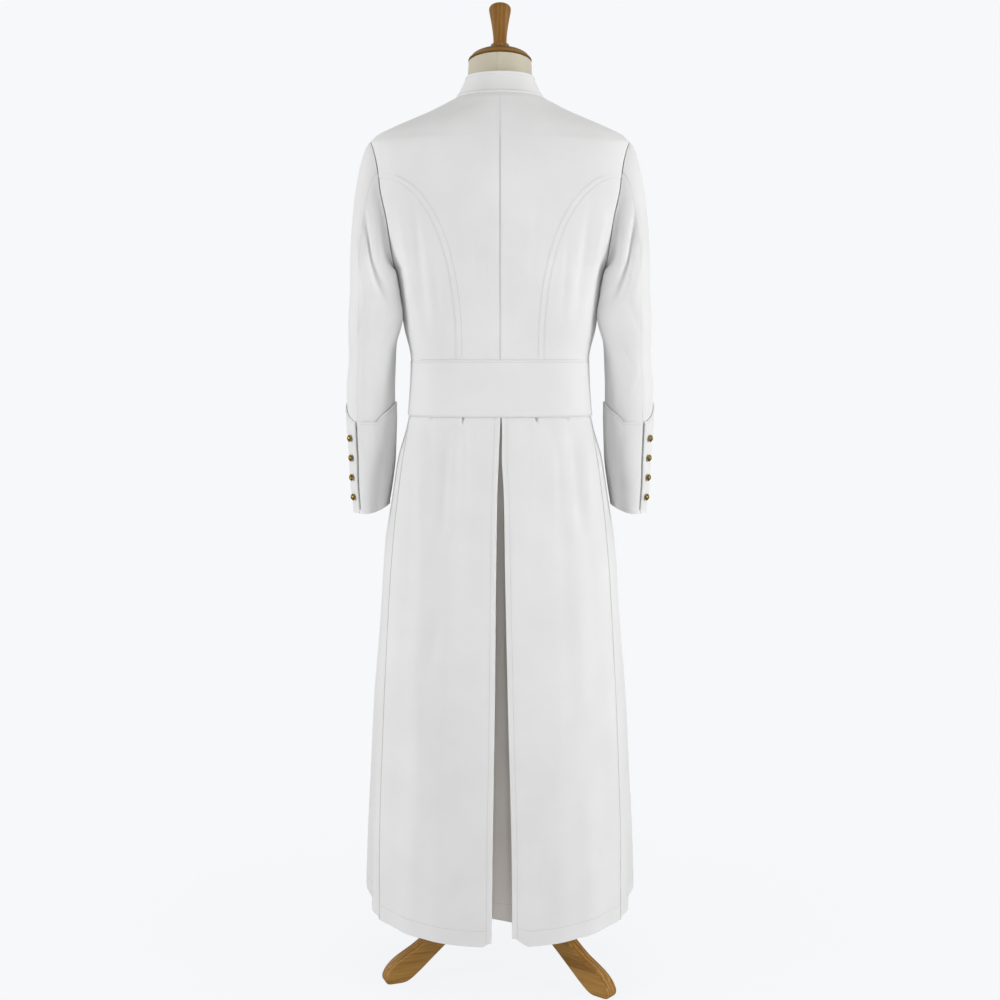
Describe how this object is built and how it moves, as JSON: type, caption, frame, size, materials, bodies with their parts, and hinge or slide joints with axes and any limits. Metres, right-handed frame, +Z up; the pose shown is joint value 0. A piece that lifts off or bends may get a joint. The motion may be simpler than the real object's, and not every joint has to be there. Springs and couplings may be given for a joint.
{
  "type": "cassock on a limbless dress form with a tripod stand",
  "caption": "Long white cassock with standing collar, waist band, centre back pleat and deep buttoned cuffs, on a linen dress form with a wooden tripod.",
  "frame": {"origin": "on the floor, at the bottom centre of the whole part's box", "axes": "+Z up; the garment's back faces -Y, the wearer faces +Y, the wearer's right is +X"},
  "size_m": [0.5616, 0.4309, 1.7533],
  "materials": {
    "cassock_cloth": "matt white worsted-look suiting, fine plain weave, pressed seams",
    "form_linen": "plain woven beige linen cover",
    "stand_wood": "honey brown hardwood, satin varnish",
    "gilt_button": "polished gilt metal"
  },
  "bodies": {
    "root": {"collar": "cassock_cloth", "back_centre_left": "cassock_cloth", "back_centre_right": "cassock_cloth", "back_side_left": "cassock_cloth", "back_side_right": "cassock_cloth", "front_left": "cassock_cloth", "front_right": "cassock_cloth", "band_back": "cassock_cloth", "band_front_left": "cassock_cloth", "band_front_right": "cassock_cloth", "skirt_back_left": "cassock_cloth", "skirt_back_right": "cassock_cloth", "pleat_underlay": "cassock_cloth", "skirt_front_left": "cassock_cloth", "skirt_front_right": "cassock_cloth", "sleeve_upper_left": "cassock_cloth", "sleeve_upper_right": "cassock_cloth", "sleeve_under_left": "cassock_cloth", "sleeve_under_right": "cassock_cloth", "cuff_left": "cassock_cloth", "cuff_right": "cassock_cloth", "cuff_button_left_1": "gilt_button", "cuff_button_left_2": "gilt_button", "cuff_button_left_3": "gilt_button", "cuff_button_left_4": "gilt_button", "cuff_button_right_1": "gilt_button", "cuff_button_right_2": "gilt_button", "cuff_button_right_3": "gilt_button", "cuff_button_right_4": "gilt_button", "form_torso": "form_linen", "neck_cap": "stand_wood", "finial": "stand_wood", "stand_pole": "stand_wood", "stand_hub": "stand_wood", "leg_1": "stand_wood", "leg_2": "stand_wood", "leg_3": "stand_wood"}
  },
  "joints": []
}
